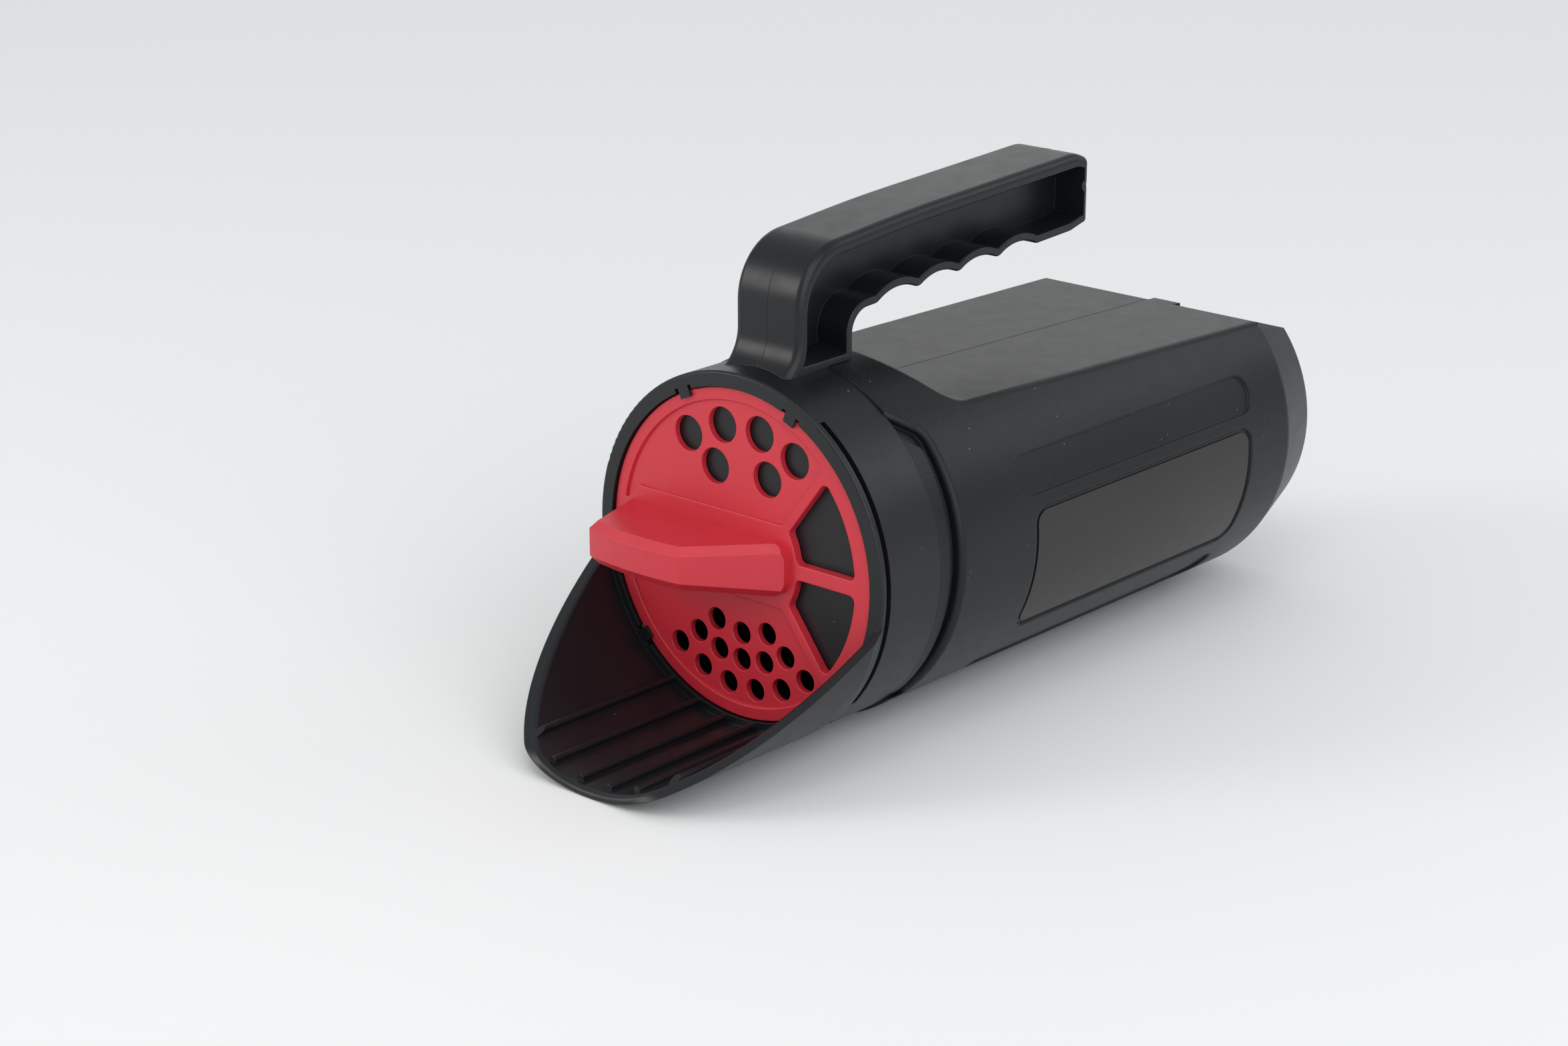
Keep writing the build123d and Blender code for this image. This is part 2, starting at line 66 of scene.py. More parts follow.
Point = tuple[float, float, float]
Colour = tuple[float, float, float]

# How the painted shade in the grain's valleys, the painted edge highlight, scuffs and dust tint a
# finish, and how scuffs dull it
# VALLEY_SHADE darkens the grain's valleys as painted shade
VALLEY_SHADE = 0.25
# Lift and share of the pale colour that the painted edge highlight and the scuffs both blend towards
HIGHLIGHT_AND_SCUFF_LIFT = 0.10
HIGHLIGHT_AND_SCUFF_SHARE = 0.5
SCUFF_SHADE = 0.25
SCUFF_DULLING = 0.15
DUST_COLOUR = (0.45, 0.45, 0.44, 1.0)

# Shapes of the surface effects
GRAIN_JITTER = 0.7
GRAIN_FINE_SCALE = 2.6
GRAIN_FINE_SHARE = 0.5
GRAIN_VALLEY = (0.35, 0.75)
DRIFT_SPAN = (0.3, 0.7)
CLOUD_SCALE = 9.0
STROKES = ((0.5, 16.0), (-0.9, 22.0))
STROKE_TURN = (1.0, 0.6, 1.7)
STROKE_LEVELS = (0.7, 0.76)
PATCH_SCALE = 0.6
PATCH_LEVELS = (0.5, 0.68)
EDGE_LEVELS = (0.995, 0.85)
SPECK_SIZE = (0.09, 0.05)
SPECK_CHOICE = (0.93, 0.94)
SPECK_UPWARD = (-0.4, 0.9)
SPECK_LEAST = 0.15
BLEND_WIDTH = 1.0 * MM

# Modelling steps
MERGE_GAP = 0.001 * MM
BEAD_MERGE_GAP = 0.05 * MM
SMOOTH_ANGLE = math.radians(40.0)

# Where the hopper's tail begins to narrow, and how fast it does
TAIL_START = 137.55 * MM
TAIL_SLOPE = 8.4 / 25.9


class Body(Enum):
    """Bodies of the spreader that move as one."""

    MAIN = "body"
    DIAL = "dial"


class Effect(Enum):
    """Shared surface effects, each a shader node group."""

    GRAIN = "mould_grain"
    DRIFT = "tone_drift"
    SCUFFS = "scuff_marks"
    # Bevel normal of the rounded edges, and the mask of a painted highlight on them
    EDGES = "edge_rub"
    SPECKS = "dust_specks"


class NodeSheet:
    """A node tree with short calls for adding and joining nodes."""

    def __init__(self, tree: bpy.types.NodeTree) -> None:
        """Keep the tree that the calls work on."""
        self.tree = tree

    def add(self, kind: str, **settings: object) -> bpy.types.Node:
        """Add a node.

        Args:
            kind: Node type without its "ShaderNode" prefix.
            settings: Properties to set on the node.

        Returns:
            The new node.
        """
        name = kind if kind.startswith("NodeGroup") else f"ShaderNode{kind}"
        node = self.tree.nodes.new(name)
        for key, value in settings.items():
            setattr(node, key, value)
        return node

    def feed(self, socket: bpy.types.NodeSocket, value: object) -> None:
        """Give an input socket a constant or a link from an output socket."""
        if isinstance(value, bpy.types.NodeSocket):
            self.tree.links.new(value, socket)
        else:
            socket.default_value = value

    def sums(self, operation: str, first: object, second: object = 0.0) -> bpy.types.NodeSocket:
        """Join two values with a Math node.

        Args:
            operation: Blender's name of the sum.
            first: Number or output socket.
            second: Number or output socket.

        Returns:
            The result's socket.
        """
        node = self.add("Math", operation=operation)
        self.feed(node.inputs[0], first)
        self.feed(node.inputs[1], second)
        return node.outputs[0]

    def spread(self, value: object, low: float, high: float, to_low: object = 0.0,
               to_high: object = 1.0) -> bpy.types.NodeSocket:
        """Map a value from one range to another, held inside the new range.

        Args:
            value: Output socket to map.
            low: Value that becomes to_low.
            high: Value that becomes to_high.
            to_low: Result at low.
            to_high: Result at high.

        Returns:
            The mapped value's socket.
        """
        node = self.add("MapRange")
        for socket, number in zip(node.inputs, (value, low, high, to_low, to_high)):
            self.feed(socket, number)
        return node.outputs[0]

    def blend(self, factor: object, first: object, second: object,
              mode: str = "MIX") -> bpy.types.NodeSocket:
        """Mix two colours.

        Args:
            factor: Share of the second colour.
            first: Colour or output socket.
            second: Colour or output socket.
            mode: Blender's name of the blend.

        Returns:
            The mixed colour's socket.
        """
        node = self.add("Mix", data_type="RGBA", blend_type=mode)
        self.feed(node.inputs["Factor"], factor)
        self.feed(node.inputs[6], first)
        self.feed(node.inputs[7], second)
        return node.outputs[2]

    def noise(self, vector: object, scale: object, detail: float = 3.0,
              rough: float = 0.5) -> bpy.types.NodeSocket:
        """Noise value between 0 and 1 at a place.

        Args:
            vector: Socket with the place.
            scale: Number or socket with the pattern's scale.
            detail: Number of finer layers.
            rough: Strength of the finer layers.

        Returns:
            The noise value's socket.
        """
        node = self.add("TexNoise")
        self.feed(node.inputs["Vector"], vector)
        self.feed(node.inputs["Scale"], scale)
        node.inputs["Detail"].default_value = detail
        node.inputs["Roughness"].default_value = rough
        return node.outputs["Fac"]

    def effect(self, effect: Effect, **values: object) -> bpy.types.Node:
        """Place a shared effect.

        Args:
            effect: Which effect.
            values: Its inputs, with underscores for spaces.

        Returns:
            The group's node.
        """
        node = self.add("Group", node_tree=bpy.data.node_groups[effect.value])
        for key, value in values.items():
            self.feed(node.inputs[key.replace("_", " ").title()], value)
        return node


class EffectLibrary:
    """Builds the shared surface effects once."""

    def start(self, effect: Effect, inputs: dict[str, float],
              outputs: dict[str, str]) -> tuple[NodeSheet, object, object]:
        """Begin a node group.

        Args:
            effect: Which effect.
            inputs: Names and defaults of its number inputs, besides the place.
            outputs: Names of its outputs and their kinds.

        Returns:
            The sheet, its input sockets and its output sockets by name.
        """
        group = bpy.data.node_groups.new(effect.value, "ShaderNodeTree")
        face = group.interface
        face.new_socket("Place", in_out="INPUT", socket_type="NodeSocketVector")
        for name, default in inputs.items():
            socket = face.new_socket(name, in_out="INPUT", socket_type="NodeSocketFloat")
            socket.default_value = default
        for name, kind in outputs.items():
            face.new_socket(name, in_out="OUTPUT", socket_type=f"NodeSocket{kind}")
        sheet = NodeSheet(group)
        given = sheet.add("NodeGroupInput").outputs
        result = sheet.add("NodeGroupOutput").inputs
        return sheet, given, result

    def grain(self) -> None:
        """Leathery mould grain: rounded cells with fine pits between them."""
        outputs = {"Height": "Float", "Valleys": "Float"}
        sheet, given, result = self.start(Effect.GRAIN, {"Scale": 900.0}, outputs)
        warp = sheet.add("VectorMath", operation="SCALE")
        jitter = sheet.add("TexNoise")
        sheet.feed(jitter.inputs["Vector"], given["Place"])
        sheet.feed(jitter.inputs["Scale"], given["Scale"])
        sheet.feed(warp.inputs[0], jitter.outputs["Color"])
        sheet.feed(warp.inputs["Scale"], sheet.sums("DIVIDE", GRAIN_JITTER, given["Scale"]))
        moved = sheet.add("VectorMath", operation="ADD")
        sheet.feed(moved.inputs[0], given["Place"])
        sheet.feed(moved.inputs[1], warp.outputs[0])
        cells = sheet.add("TexVoronoi", feature="SMOOTH_F1")
        sheet.feed(cells.inputs["Vector"], moved.outputs[0])
        sheet.feed(cells.inputs["Scale"], given["Scale"])
        fine_scale = sheet.sums("MULTIPLY", given["Scale"], GRAIN_FINE_SCALE)
        fine = sheet.noise(given["Place"], fine_scale, 2.0)
        dome = sheet.sums("SUBTRACT", 1.0, cells.outputs["Distance"])
        pits = sheet.sums("MULTIPLY", fine, GRAIN_FINE_SHARE)
        sheet.feed(result["Height"], sheet.sums("ADD", dome, pits))
        sheet.feed(result["Valleys"], sheet.spread(cells.outputs["Distance"], *GRAIN_VALLEY))

    def drift(self) -> None:
        """Slow drift of tone and gloss over a moulding, as from flow and cooling."""
        outputs = {"Drift": "Float", "Cloud": "Float"}
        sheet, given, result = self.start(Effect.DRIFT, {"Scale": 14.0}, outputs)
        slow = sheet.noise(given["Place"], given["Scale"], 2.0)
        cloud_scale = sheet.sums("MULTIPLY", given["Scale"], CLOUD_SCALE)
        cloud = sheet.noise(given["Place"], cloud_scale, 4.0, 0.6)
        sheet.feed(result["Drift"], sheet.spread(slow, *DRIFT_SPAN))
        sheet.feed(result["Cloud"], sheet.spread(cloud, *DRIFT_SPAN))

    def scuffs(self) -> None:
        """Faint handling scratches in two directions, only where patches of rubbing lie."""
        inputs = {"Scale": 60.0, "Amount": 0.5}
        sheet, given, result = self.start(Effect.SCUFFS, inputs, {"Mask": "Float"})
        strokes = []
        for turn, stretch in STROKES:
            mapping = sheet.add("Mapping")
            sheet.feed(mapping.inputs["Vector"], given["Place"])
            mapping.inputs["Rotation"].default_value = tuple(turn * share for share in STROKE_TURN)
            mapping.inputs["Scale"].default_value = (1.0, stretch, stretch)
            lines = sheet.noise(mapping.outputs[0], given["Scale"], 2.0)
            strokes.append(sheet.spread(lines, *STROKE_LEVELS))
        patches = sheet.noise(given["Place"], sheet.sums("MULTIPLY", given["Scale"], PATCH_SCALE))
        patches = sheet.spread(patches, *PATCH_LEVELS)
        marks = sheet.sums("MULTIPLY", sheet.sums("MAXIMUM", *strokes), patches)
        sheet.feed(result["Mask"], sheet.sums("MULTIPLY", marks, given["Amount"]))

    def edges(self) -> None:
        """Softly rounded arrises: a normal that turns over edges, and a mask of where it does, for a
        painted highlight.
        """
        outputs = {"Normal": "Vector", "Mask": "Float"}
        sheet, given, result = self.start(Effect.EDGES, {"Radius": 0.0004}, outputs)
        bevel = sheet.add("Bevel", samples=4)
        sheet.feed(bevel.inputs["Radius"], given["Radius"])
        plain = sheet.add("NewGeometry").outputs["Normal"]
        match = sheet.add("VectorMath", operation="DOT_PRODUCT")
        sheet.feed(match.inputs[0], bevel.outputs[0])
        sheet.feed(match.inputs[1], plain)
        sheet.feed(result["Normal"], bevel.outputs[0])
        sheet.feed(result["Mask"], sheet.spread(match.outputs["Value"], *EDGE_LEVELS))

    def specks(self) -> None:
        """Tiny pale dust specks, thickest on faces that look up."""
        inputs = {"Scale": 260.0, "Amount": 0.5}
        sheet, given, result = self.start(Effect.SPECKS, inputs, {"Mask": "Float"})
        dots = sheet.add("TexVoronoi", feature="F1")
        sheet.feed(dots.inputs["Vector"], given["Place"])
        sheet.feed(dots.inputs["Scale"], given["Scale"])
        small = sheet.spread(dots.outputs["Distance"], *SPECK_SIZE)
        chosen = sheet.add("SeparateColor")
        sheet.feed(chosen.inputs[0], dots.outputs["Color"])
        few = sheet.spread(chosen.outputs[0], *SPECK_CHOICE)
        lift = sheet.add("SeparateXYZ")
        sheet.feed(lift.inputs[0], sheet.add("NewGeometry").outputs["Normal"])
        upward = sheet.spread(lift.outputs["Z"], *SPECK_UPWARD, SPECK_LEAST, 1.0)
        mask = sheet.sums("MULTIPLY", sheet.sums("MULTIPLY", small, few), upward)
        sheet.feed(result["Mask"], sheet.sums("MULTIPLY", mask, given["Amount"]))

    def build(self) -> None:
        """Build every effect."""
        for make in (self.grain, self.drift, self.scuffs, self.edges, self.specks):
            make()


@dataclass(frozen=True)
class Plastic:
    """Finish of a moulded plastic surface."""

    name: str
    colour: Colour
    deep_colour: Colour
    roughness: float
    roughness_swing: float
    grain_scale: float
    grain_depth: float
    scuff_amount: float
    speck_amount: float
    edge_radius: float = 0.35 * MM
    # How far the edges are lightened as a painted highlight
    painted_highlight_lift: float = 0.12
    specular: float = 0.5
    coarse_scale: float = 0.0
    coarse_depth: float = 0.0
    coarse_before: float = 0.0

    def material(self) -> bpy.types.Material:
        """Build the finish as a material.

        Returns:
            The new material.
        """
        material = bpy.data.materials.new(self.name)
        material.use_nodes = True
        sheet = NodeSheet(material.node_tree)
        shader = material.node_tree.nodes["Principled BSDF"]
        place = sheet.add("TexCoord").outputs["Object"]
        grain = sheet.effect(Effect.GRAIN, place=place, scale=self.grain_scale)
        drift = sheet.effect(Effect.DRIFT, place=place)
        scuffs = sheet.effect(Effect.SCUFFS, place=place, amount=self.scuff_amount)
        edges = sheet.effect(Effect.EDGES, place=place, radius=self.edge_radius)
        specks = sheet.effect(Effect.SPECKS, place=place, amount=self.speck_amount)
        deep = (*self.deep_colour, 1.0)
        tone = sheet.blend(drift.outputs["Drift"], deep, (*self.colour, 1.0))
        # Painted shade in the grain's valleys
        tone = sheet.blend(sheet.sums("MULTIPLY", grain.outputs["Valleys"], VALLEY_SHADE), tone, deep)
        # Edges are lightened as a painted highlight and scuffs as real wear, both towards this pale
        # colour
        pale = tuple(HIGHLIGHT_AND_SCUFF_SHARE * part + HIGHLIGHT_AND_SCUFF_LIFT for part in self.colour)
        painted_edge_highlight = sheet.sums("MULTIPLY", edges.outputs["Mask"], self.painted_highlight_lift)
        marks = sheet.sums("ADD", painted_edge_highlight, sheet.sums("MULTIPLY", scuffs.outputs["Mask"], SCUFF_SHADE))
        tone = sheet.blend(marks, tone, (*pale, 1.0))
        tone = sheet.blend(specks.outputs["Mask"], tone, DUST_COLOUR)
        sheet.feed(shader.inputs["Base Color"], tone)
        low, high = self.roughness - self.roughness_swing, self.roughness + self.roughness_swing
        gloss = sheet.spread(drift.outputs["Cloud"], 0.0, 1.0, low, high)
        gloss = sheet.sums("ADD", gloss, sheet.sums("MULTIPLY", scuffs.outputs["Mask"], SCUFF_DULLING))
        sheet.feed(shader.inputs["Roughness"], gloss)
        shader.inputs["Specular IOR Level"].default_value = self.specular
        bump = sheet.add("Bump")
        bump.inputs["Strength"].default_value = 1.0
        bump.inputs["Distance"].default_value = self.grain_depth
        sheet.feed(bump.inputs["Height"], self.height(sheet, place, grain.outputs["Height"]))
        sheet.feed(bump.inputs["Normal"], edges.outputs["Normal"])
        sheet.feed(shader.inputs["Normal"], bump.outputs[0])
        return material

    def height(self, sheet: NodeSheet, place: object, fine: object) -> object:
        """Height of the surface, with coarser grain on the part of the moulding that has it.

        Args:
            sheet: The material's node sheet.
            place: Socket with the place on the piece.
            fine: Socket with the fine grain's height.

        Returns:
            Socket with the height, in fine grain depths.
        """
        if not self.coarse_scale:
            return fine
        coarse = sheet.effect(Effect.GRAIN, place=place, scale=self.coarse_scale)
        along = sheet.add("SeparateXYZ")
        sheet.feed(along.inputs[0], place)
        ahead = sheet.spread(along.outputs["Y"], self.coarse_before, self.coarse_before - BLEND_WIDTH)
        share = sheet.sums("MULTIPLY", ahead, self.coarse_depth / self.grain_depth)
        return sheet.sums("ADD", fine, sheet.sums("MULTIPLY", coarse.outputs["Height"], share))


HEAD_FINISH = Plastic(
    name="satin_black_head", colour=(0.0088, 0.0098, 0.0118), deep_colour=(0.0062, 0.0069, 0.0083),
    roughness=0.37, roughness_swing=0.03, grain_scale=1500.0, grain_depth=0.010 * MM,
    scuff_amount=0.5, speck_amount=0.5, specular=0.36)
HANDLE_FINISH = Plastic(
    name="satin_black_handle", colour=(0.0085, 0.0096, 0.0116), deep_colour=(0.0062, 0.0070, 0.0085),
    roughness=0.35, roughness_swing=0.03, grain_scale=1500.0, grain_depth=0.008 * MM,
    scuff_amount=0.4, speck_amount=0.2, specular=0.34)
DIAL_FINISH = Plastic(
    name="satin_red_dial", colour=(0.60, 0.025, 0.043), deep_colour=(0.55, 0.020, 0.036),
    roughness=0.40, roughness_swing=0.03, grain_scale=1300.0, grain_depth=0.010 * MM,
    scuff_amount=0.2, speck_amount=0.12, edge_radius=0.15 * MM, painted_highlight_lift=0.25)
HOPPER_FINISH = Plastic(
    name="grained_black_hopper", colour=(0.0082, 0.0090, 0.0106), deep_colour=(0.0060, 0.0066, 0.0078),
    roughness=0.37, roughness_swing=0.02, grain_scale=1500.0, grain_depth=0.035 * MM,
    scuff_amount=0.2, speck_amount=0.4, edge_radius=1.0 * MM, painted_highlight_lift=0.06, specular=0.28,
    coarse_scale=900.0, coarse_depth=0.06 * MM, coarse_before=-54.0 * MM)
LABEL_FINISH = Plastic(
    name="bare_dark_film", colour=(0.0190, 0.0165, 0.0168), deep_colour=(0.0165, 0.0142, 0.0145),
    roughness=0.36, roughness_swing=0.02, grain_scale=300.0, grain_depth=0.006 * MM,
    scuff_amount=0.1, speck_amount=0.25, specular=0.4)


class Bench:
    """Modelling steps that the pieces share."""

    @staticmethod
    def only(piece: bpy.types.Object) -> None:
        """Select one object alone and make it active."""
        bpy.ops.object.select_all(action="DESELECT")
        piece.select_set(True)
        bpy.context.view_layer.objects.active = piece

    @classmethod
    def pick(cls, piece: bpy.types.Object, test: Callable[[Vector], bool]) -> None:
        """Select the vertices of a mesh that pass a test, and end in edit mode.

        Args:
            piece: Object whose vertices are selected.
            test: Test of a vertex's place.
        """
        cls.only(piece)
        bpy.ops.object.mode_set(mode="EDIT")
        bpy.ops.mesh.select_mode(type="VERT")
        bpy.ops.mesh.select_all(action="DESELECT")
        bpy.ops.object.mode_set(mode="OBJECT")
        for vertex in piece.data.vertices:
            vertex.select = test(vertex.co)
        bpy.ops.object.mode_set(mode="EDIT")

    @classmethod
    def bead(cls, node: bpy.types.Object, name: str, radius: float,
             kept: Callable[[Vector], bool]) -> bpy.types.Object:
        """Thin bead along a moulding's outline in its middle plane, as its mould halves leave it.

        Args:
            node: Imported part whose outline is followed.
            name: Name of the bead.
            radius: The bead's radius; half of it stands out of the surface.
            kept: Test of which points of the outline the bead follows.

        Returns:
            The bead.
        """
        piece = node.copy()
        piece.data = node.data.copy()
        piece.name = name
        bpy.context.collection.objects.link(piece)
        cls.only(piece)
        bpy.ops.object.mode_set(mode="EDIT")
        bpy.ops.mesh.select_all(action="SELECT")
        bpy.ops.mesh.remove_doubles(threshold=MERGE_GAP)
        bpy.ops.mesh.bisect(plane_co=(0.0, 0.0, 0.0), plane_no=(1.0, 0.0, 0.0),
                            clear_inner=True, clear_outer=True)
        bpy.ops.mesh.select_all(action="SELECT")
        bpy.ops.mesh.remove_doubles(threshold=BEAD_MERGE_GAP)
        bpy.ops.object.mode_set(mode="OBJECT")
        cls.pick(piece, lambda place: not kept(place))
        bpy.ops.mesh.delete(type="VERT")
        bpy.ops.object.mode_set(mode="OBJECT")
        piece.data.materials.clear()
        bpy.ops.object.convert(target="CURVE")
        line = bpy.context.active_object
        line.data.bevel_depth = radius
        line.data.bevel_resolution = 2
        line.data.use_fill_caps = True
        bpy.ops.object.convert(target="MESH")
        bead = bpy.context.active_object
        bpy.ops.object.shade_smooth()
        LOG.info("made %s with %d faces", bead.name, len(bead.data.polygons))
        return bead

    @staticmethod
    def seat(piece: bpy.types.Object, body: Body, slot: str, finish: Plastic) -> None:
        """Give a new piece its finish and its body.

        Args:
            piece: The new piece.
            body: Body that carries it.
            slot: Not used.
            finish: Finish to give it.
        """
        piece.data.materials.clear()
        piece.data.materials.append(finished(finish))
        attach(piece, body.value)
        LOG.info("seated %s on %s", piece.name, body.value)


def finished(finish: Plastic) -> bpy.types.Material:
    """Material of a finish, built the first time that it is asked for."""
    return bpy.data.materials.get(finish.name) or finish.material()


@dataclass
class ScoopHead:
    """Front moulding: collar, bulkhead, hooks and ribbed scoop."""

    node: str = "scoop_head"
    finish: Plastic = HEAD_FINISH

    def dress(self, nodes: dict[str, bpy.types.Object]) -> None:
        """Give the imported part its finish."""
        dress(nodes[self.node], self.finish)


@dataclass
class Handle:
    """Cantilevered handle with the line that its mould halves leave."""

    node: str = "handle"
    slot: str = "handle_black"
    finish: Plastic = HANDLE_FINISH
    bead_radius: float = 0.09 * MM
    foot_height: float = 127.0 * MM
    post_line_back: float = -72.0 * MM
    end_line_front: float = 39.0 * MM

    def marked(self, place: Vector) -> bool:
        """Whether the parting line shows at a point: on the post above the foot, and round the end."""
        on_post = place.y < self.post_line_back
        return place.z > self.foot_height and (on_post or place.y > self.end_line_front)

    def build(self, nodes: dict[str, bpy.types.Object]) -> None:
        """Model the parting line."""
        bead = Bench.bead(nodes[self.node], "handle_parting_line", self.bead_radius, self.marked)
        Bench.seat(bead, Body.MAIN, self.slot, self.finish)

    def dress(self, nodes: dict[str, bpy.types.Object]) -> None:
        """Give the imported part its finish."""
        dress(nodes[self.node], self.finish)


@dataclass
class Dial:
    """Red turning dial with its grip bar."""

    node: str = "dial"
    finish: Plastic = DIAL_FINISH

    def dress(self, nodes: dict[str, bpy.types.Object]) -> None:
        """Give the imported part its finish."""
        dress(nodes[self.node], self.finish)


@dataclass
class Hopper:
    """Blow-moulded hopper with its parting line and the tab where the moulding was pinched off."""

    node: str = "hopper"
    slot: str = "hopper_black"
    finish: Plastic = HOPPER_FINISH
    bead_radius: float = 0.07 * MM
    bead_front: float = -43.0 * MM
    wall: float = 2.4 * MM
    tab_size: Point = (12.0 * MM, 5.0 * MM, 1.6 * MM)
    tab_place: Point = (6.2 * MM, 139.4 * MM, 104.15 * MM)
    tab_tilt: float = -1.83
    tab_round: float = 0.4 * MM
    tab_sink: float = 0.1 * MM

    def outside(self, place: Vector) -> bool:
        """Whether a point of the outline lies on the outer surface behind the shoulder."""
        low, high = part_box(self.node)
        top = self.flat_edge(place.y)
        near_top = place.z > top - self.wall / 2
        near_bottom = place.z < low[2] + self.wall / 2 + self.tail_rise(place.y)
        near_back = place.y > high[1] - self.wall / 2
        return place.y > self.bead_front and (near_top or near_bottom or near_back)

    def flat_edge(self, along: float) -> float:
        """Height of the hopper's top in the middle plane at a place along it."""
        flat = self.tab_place[2] + self.tab_size[2] / 2 + self.tab_sink
        slope = math.tan(math.radians(-self.tab_tilt))
        fall = max(0.0, along - TAIL_START) * TAIL_SLOPE
        return flat - slope * (along - TAIL_START) - fall

    def tail_rise(self, along: float) -> float:
        """Height of the hopper's bottom line above the floor at a place along it."""
        return max(0.0, along - TAIL_START) * TAIL_SLOPE

    def build(self, nodes: dict[str, bpy.types.Object]) -> None:
        """Model the parting line and the pinch-off tab."""
        bead = Bench.bead(nodes[self.node], "hopper_parting_line", self.bead_radius, self.outside)
        Bench.seat(bead, Body.MAIN, self.slot, self.finish)
        Bench.seat(self.pinch_tab(), Body.MAIN, self.slot, self.finish)

    def pinch_tab(self) -> bpy.types.Object:
        """Low tab that carries the top flat a little over the tail's edge.

        Returns:
            The tab.
        """
        bpy.ops.object.select_all(action="DESELECT")
        bpy.ops.mesh.primitive_cube_add(size=1.0, location=self.tab_place)
        tab = bpy.context.active_object
        tab.name = "pinch_off_tab"
        tab.scale = self.tab_size
        tab.rotation_euler = (math.radians(self.tab_tilt), 0.0, 0.0)
        bpy.ops.object.transform_apply(location=True, rotation=True, scale=True)
        bpy.ops.object.mode_set(mode="EDIT")
        bpy.ops.mesh.select_all(action="SELECT")
        bpy.ops.mesh.subdivide(number_cuts=2)
        bpy.ops.mesh.bevel(offset=self.tab_round, segments=3, affect="EDGES")
        bpy.ops.object.mode_set(mode="OBJECT")
        bpy.ops.object.shade_smooth_by_angle(angle=SMOOTH_ANGLE)
        return tab

    def dress(self, nodes: dict[str, bpy.types.Object]) -> None:
        """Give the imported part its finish."""
        dress(nodes[self.node], self.finish)


@dataclass
class Labels:
    """Bare films in the recesses of both sides."""

    nodes: list[str] = field(default_factory=lambda: ["right_label", "left_label"])
    finish: Plastic = LABEL_FINISH

    def dress(self, nodes: dict[str, bpy.types.Object]) -> None:
        """Give both packed films their finish."""
        for node in self.nodes:
            dress(nodes[node], self.finish)


@dataclass(frozen=True)
class SoftBox:
    """Rectangular soft lamp."""

    name: str
    place: Point
    aim: Point
    size: tuple[float, float]
    power: float
    colour: Colour

    def hang(self) -> None:
        """Hang the lamp at its place, facing its aim."""
        lamp = bpy.data.lights.new(self.name, "AREA")
        lamp.shape = "RECTANGLE"
        lamp.size, lamp.size_y = self.size
        lamp.energy = self.power
        lamp.color = self.colour
        holder = bpy.data.objects.new(self.name, lamp)
        holder.location = self.place
        facing = Vector(self.aim) - Vector(self.place)
        holder.rotation_euler = facing.to_track_quat("-Z", "Y").to_euler()
        bpy.context.collection.objects.link(holder)


WARM_LIGHT = (1.0, 0.955, 0.90)
COOL_LIGHT = (0.95, 0.975, 1.0)
SOFT_BOXES = (
    SoftBox("right_box", (1.9, -0.9, 1.2), (0.0, 0.0, 0.05), (2.6, 2.2), 28.0, COOL_LIGHT),
    SoftBox("overhead_box", (0.5, -0.8, 1.7), (0.0, 0.0, 0.05), (0.7, 0.7), 3.0, WARM_LIGHT),
    SoftBox("back_box", (-1.7, 1.9, 1.0), (0.0, 0.0, 0.1), (2.2, 1.4), 5.0, WARM_LIGHT),
    SoftBox("rear_box", (1.1, 1.7, 1.2), (0.0, 0.0, 0.1), (1.2, 0.9), 4.0, COOL_LIGHT),
    SoftBox("front_box", (-1.45, -1.6, 0.95), (0.0, -0.05, 0.1), (0.9, 0.9), 13.0, WARM_LIGHT),
)


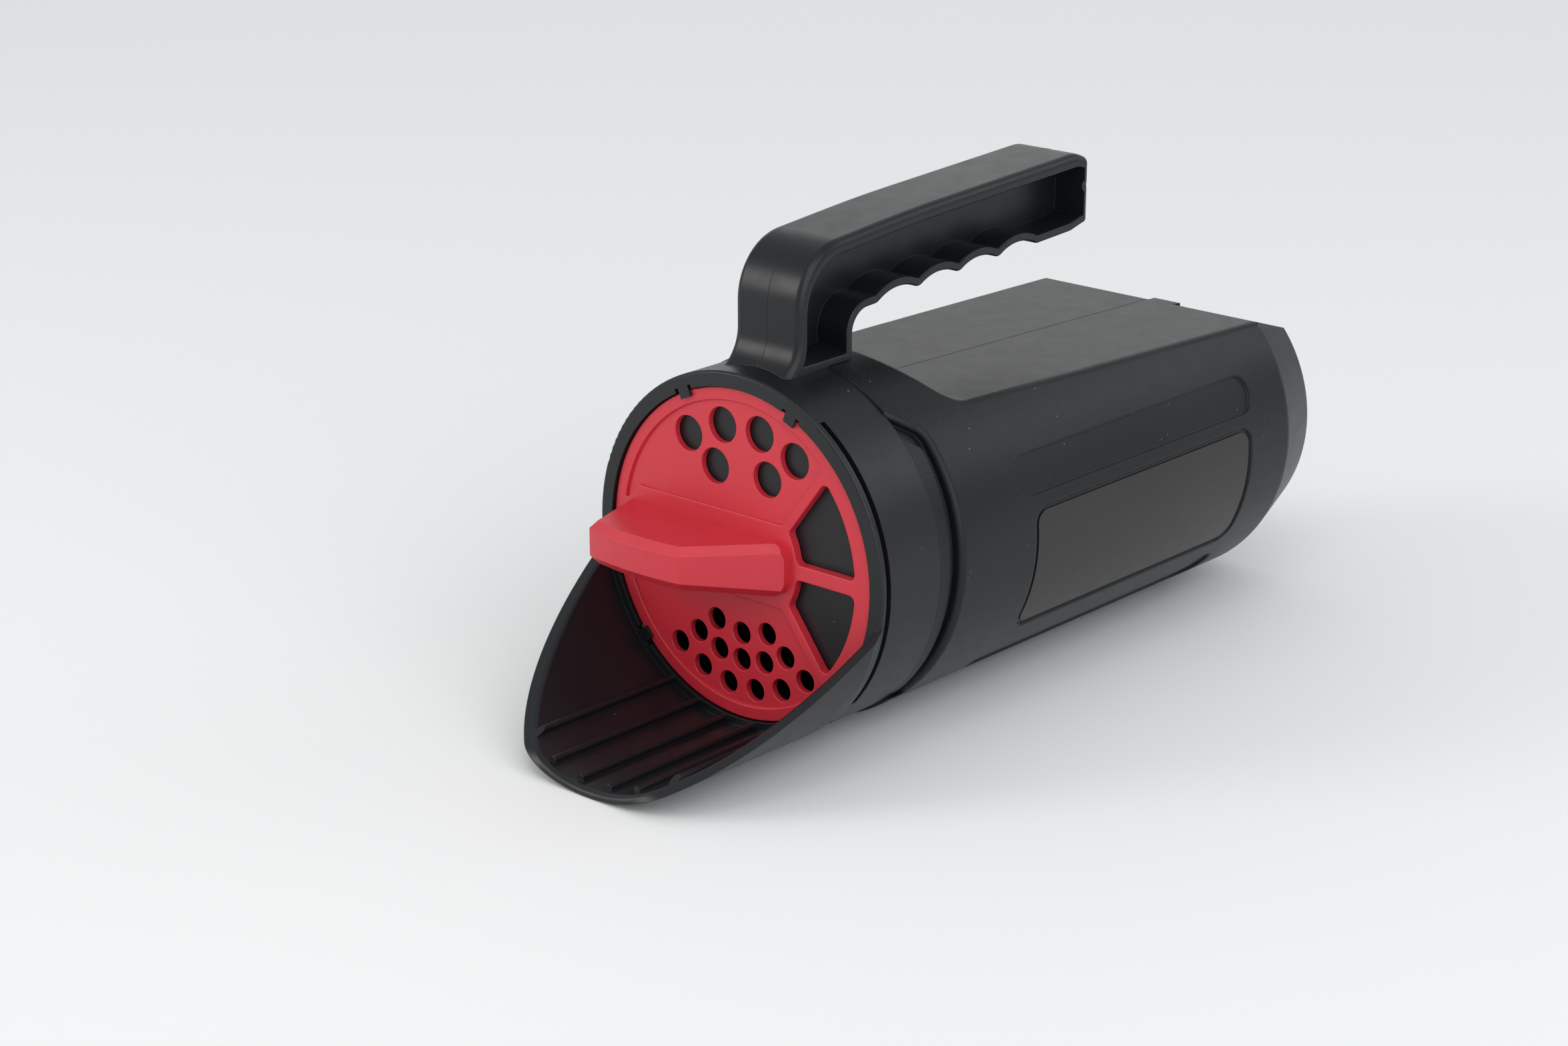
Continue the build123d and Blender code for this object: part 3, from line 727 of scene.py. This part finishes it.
@dataclass
class Studio:
    """Pale floor, soft lights and the camera."""

    camera_place: Point = (0.685729, -0.840724, 0.421489)
    camera_yaw: float = 41.58
    camera_pitch: float = 18.854
    lens_mm: float = 74.95
    sensor_mm: float = 36.0
    floor_size: float = 16.0
    floor_roughness: float = 0.75
    floor_specular: float = 0.2
    floor_colour: Colour = (0.925, 0.915, 0.905)
    sky_colour: Colour = (0.90, 0.96, 1.0)
    sky_side: Point = (0.8, -0.4, 0.3)
    sky_dim: float = 0.52
    sky_bright: float = 0.68
    lamps: tuple[SoftBox, ...] = SOFT_BOXES

    def build(self) -> None:
        """Make the floor, the world, the lamps and the camera."""
        self.lay_floor()
        self.fill_world()
        for lamp in self.lamps:
            lamp.hang()
        self.set_camera()
        bpy.context.scene.view_settings.view_transform = "Standard"

    def lay_floor(self) -> None:
        """Lay the pale floor."""
        bpy.ops.mesh.primitive_plane_add(size=self.floor_size, location=(0.0, 0.0, 0.0))
        floor = bpy.context.active_object
        floor.name = "studio_floor"
        material = bpy.data.materials.new("pale_floor")
        material.use_nodes = True
        shader = material.node_tree.nodes["Principled BSDF"]
        shader.inputs["Base Color"].default_value = (*self.floor_colour, 1.0)
        shader.inputs["Roughness"].default_value = self.floor_roughness
        shader.inputs["Specular IOR Level"].default_value = self.floor_specular
        floor.data.materials.append(material)

    def fill_world(self) -> None:
        """Give the world a soft fill that is a little brighter in front on the right."""
        world = bpy.data.worlds.new("studio_world")
        world.use_nodes = True
        bpy.context.scene.world = world
        sheet = NodeSheet(world.node_tree)
        backdrop = world.node_tree.nodes["Background"]
        backdrop.inputs["Color"].default_value = (*self.sky_colour, 1.0)
        side = sheet.add("VectorMath", operation="DOT_PRODUCT")
        sheet.feed(side.inputs[0], sheet.add("TexCoord").outputs["Generated"])
        side.inputs[1].default_value = self.sky_side
        strength = sheet.spread(side.outputs["Value"], -1.0, 1.0, self.sky_dim, self.sky_bright)
        sheet.feed(backdrop.inputs["Strength"], strength)

    def set_camera(self) -> None:
        """Place the camera at the photograph's viewing angle."""
        camera = bpy.data.cameras.new("photo_camera")
        camera.sensor_width = self.sensor_mm
        camera.lens = self.lens_mm
        holder = bpy.data.objects.new("photo_camera", camera)
        holder.location = self.camera_place
        tilt = math.radians(90.0 - self.camera_pitch)
        holder.rotation_euler = (tilt, 0.0, math.radians(self.camera_yaw))
        bpy.context.collection.objects.link(holder)
        bpy.context.scene.camera = holder


def dress(node: bpy.types.Object, finish: Plastic) -> None:
    """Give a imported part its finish.

    Args:
        node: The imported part's object.
        finish: Finish to give it.
    """
    node.material_slots[0].material = finished(finish)
    LOG.info("dressed %s in %s", node.name, finish.name)


def main() -> None:
    """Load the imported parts, dress them and set the studio."""
    logging.basicConfig(level=logging.INFO, format="%(name)s: %(message)s")
    for leftover in list(bpy.data.objects):
        bpy.data.objects.remove(leftover)
    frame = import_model()
    EffectLibrary().build()
    nodes = frame["nodes"]
    handle = Handle()
    hopper = Hopper()
    handle.build(nodes)
    hopper.build(nodes)
    for assembly in (ScoopHead(), handle, Dial(), hopper, Labels()):
        assembly.dress(nodes)
    Studio().build()


if __name__ == "__main__":
    main()
